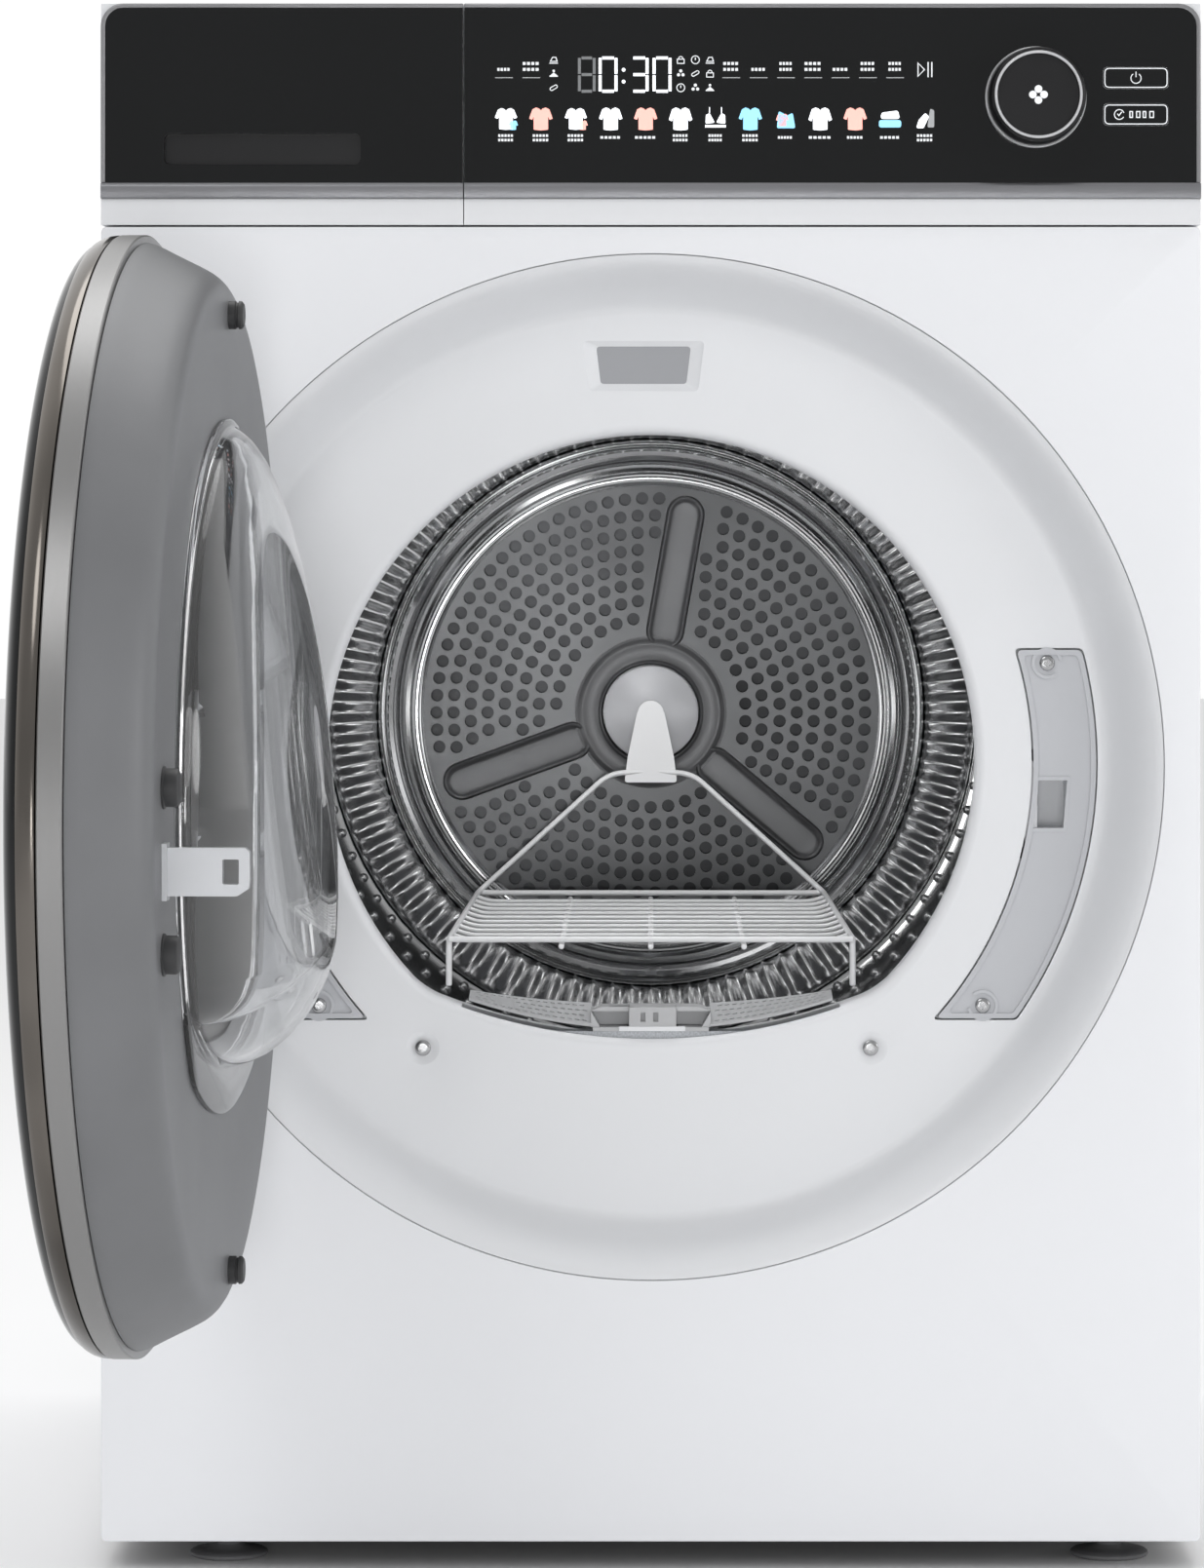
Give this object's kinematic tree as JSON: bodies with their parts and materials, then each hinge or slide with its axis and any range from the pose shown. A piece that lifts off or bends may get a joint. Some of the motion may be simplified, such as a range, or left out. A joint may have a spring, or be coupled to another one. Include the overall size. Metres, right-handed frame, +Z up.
{
  "type": "clothes dryer",
  "caption": "Front-loading heat pump clothes dryer with a round glass door, steel drum, lint filter, water drawer and removable drying rack.",
  "frame": {"origin": "on the floor under the middle of the cabinet's width and depth", "axes": "+Z up, the front faces -Y, +X to the right of a person facing the front"},
  "size_m": [0.595, 1.1379, 0.85],
  "materials": {
    "white_enamel": "smooth semi-gloss white enamel",
    "galvanised": "spangled zinc coating",
    "white_plastic": "smooth satin white plastic",
    "black_glass": "high gloss black",
    "silver_trim": "satin silver",
    "champagne_chrome": "polished, warm tint",
    "dark_grey_plastic": "satin dark grey",
    "light_grey_plastic": "satin light grey",
    "clear_glass": "clear polished glass",
    "drum_steel": "polished stainless steel",
    "lifter_plastic": "satin light grey",
    "black_rubber": "matt",
    "felt": "dense felt",
    "zinc_steel": "bright zinc plated",
    "base_plastic": "moulded dark grey",
    "cast_metal": "painted cast metal",
    "fin_aluminium": "thin bright fins",
    "copper": "drawn copper tube",
    "circuit_board": "green solder mask",
    "coated_wire": "white nylon coating",
    "lint_mesh": "fine woven screen in a frame"
  },
  "bodies": {
    "cabinet": {"front_panel": "white_enamel", "side_panels": "white_enamel", "back_panel": "galvanised", "top_cover": "white_enamel", "base_tray": "base_plastic", "levelling_feet": "black_rubber", "fascia_frame": "white_plastic", "fascia_glass": "black_glass", "fascia_trim": "silver_trim", "display_board": "circuit_board", "door_recess": "white_plastic", "drum_light_lens": "light_grey_plastic", "latch_cover": "light_grey_plastic", "hinge_cover": "light_grey_plastic", "case_screws": "zinc_steel", "door_lock": "white_plastic", "hinge_bracket": "galvanised", "front_bulkhead": "galvanised", "drum_seals": "felt", "rear_bulkhead": "galvanised", "rear_bearing": "zinc_steel", "rear_duct_cover": "galvanised", "drum_belt": "black_rubber", "motor_housing": "cast_metal", "blower_housing": "lifter_plastic", "compressor": "cast_metal", "evaporator": "fin_aluminium", "condenser": "fin_aluminium", "refrigerant_pipes": "copper", "condensate_pump": "base_plastic", "filter_duct": "base_plastic", "control_board": "circuit_board", "drawer_housing": "white_plastic", "cable_gland": "black_rubber"},
    "door": {"door_frame": "dark_grey_plastic", "door_ring": "champagne_chrome", "door_glass": "black_glass", "glass_bowl": "clear_glass", "door_hook": "silver_trim", "door_bumpers": "black_rubber"},
    "drum": {"drum_shell": "drum_steel", "drum_rear_wall": "drum_steel", "drum_lifters": "lifter_plastic"},
    "programme_knob": {"knob": "black_glass"},
    "power_key": {"power_button": "black_glass"},
    "auto_key": {"auto_button": "black_glass"},
    "water_drawer": {"drawer_front": "white_plastic", "drawer_glass": "black_glass", "drawer_trim": "silver_trim", "water_tank": "white_plastic"},
    "lint_filter": {"filter_grille": "light_grey_plastic", "lint_screen": "lint_mesh"},
    "drying_rack": {"rack_frame": "coated_wire", "rack_tongue": "coated_wire"},
    "motor_rotor": {"motor_shaft": "zinc_steel", "blower_wheel": "lifter_plastic"},
    "tension_arm": {"idler_arm": "zinc_steel"},
    "tension_pulley": {"idler_pulley": "lifter_plastic"},
    "support_roller_left": {"roller_left": "black_rubber"},
    "support_roller_right": {"roller_right": "black_rubber"}
  },
  "joints": [
    {"name": "door_hinge", "type": "hinge", "parent": "cabinet", "child": "door", "pos_m": [-0.247, -0.315, 0.4357], "axis": [0, 0, -1], "range_deg": [-93, 8]},
    {"name": "drum_spin", "type": "hinge", "parent": "cabinet", "child": "drum", "pos_m": [0, 0, 0.4457], "axis": [0, 1, 0], "continuous": true},
    {"name": "knob_turn", "type": "hinge", "parent": "cabinet", "child": "programme_knob", "pos_m": [0.208, -0.32, 0.798], "axis": [0, 1, 0], "continuous": true},
    {"name": "power_press", "type": "slide", "parent": "cabinet", "child": "power_key", "axis": [0, 1, 0], "range_m": [0, 0.0008], "stiffness_N_per_m": 1500},
    {"name": "auto_press", "type": "slide", "parent": "cabinet", "child": "auto_key", "axis": [0, 1, 0], "range_m": [0, 0.0008], "stiffness_N_per_m": 1500},
    {"name": "drawer_pull", "type": "slide", "parent": "cabinet", "child": "water_drawer", "axis": [0, -1, 0], "range_m": [0, 0.38]},
    {"name": "filter_lift", "type": "slide", "parent": "cabinet", "child": "lint_filter", "axis": [0, 0, 1], "range_m": [0, 0.105]},
    {"name": "rack_slide", "type": "slide", "parent": "cabinet", "child": "drying_rack", "axis": [0, -1, 0], "range_m": [0, 0.45]},
    {"name": "motor_spin", "type": "hinge", "parent": "cabinet", "child": "motor_rotor", "pos_m": [-0.2, 0, 0.108], "axis": [0, 1, 0], "continuous": true},
    {"name": "arm_tension", "type": "hinge", "parent": "cabinet", "child": "tension_arm", "pos_m": [-0.262, -0.028, 0.128], "axis": [0, 1, 0], "range_deg": [0, 8], "stiffness_Nm_per_rad": 30},
    {"name": "tension_pulley_spin", "type": "hinge", "parent": "tension_arm", "child": "tension_pulley", "pos_m": [-0.252, -0.014, 0.196], "axis": [0, 1, 0], "continuous": true},
    {"name": "roller_left_spin", "type": "hinge", "parent": "cabinet", "child": "support_roller_left", "pos_m": [-0.18343, -0.184, 0.18374], "axis": [0, 1, 0], "continuous": true},
    {"name": "roller_right_spin", "type": "hinge", "parent": "cabinet", "child": "support_roller_right", "pos_m": [0.18343, -0.184, 0.18374], "axis": [0, 1, 0], "continuous": true}
  ],
  "couplings": [
    {"joint": "motor_spin", "follows": "drum_spin", "ratio": 20.321},
    {"joint": "tension_pulley_spin", "follows": "drum_spin", "ratio": 15.806},
    {"joint": "roller_left_spin", "follows": "drum_spin", "ratio": -8.1286},
    {"joint": "roller_right_spin", "follows": "drum_spin", "ratio": -8.1286}
  ]
}
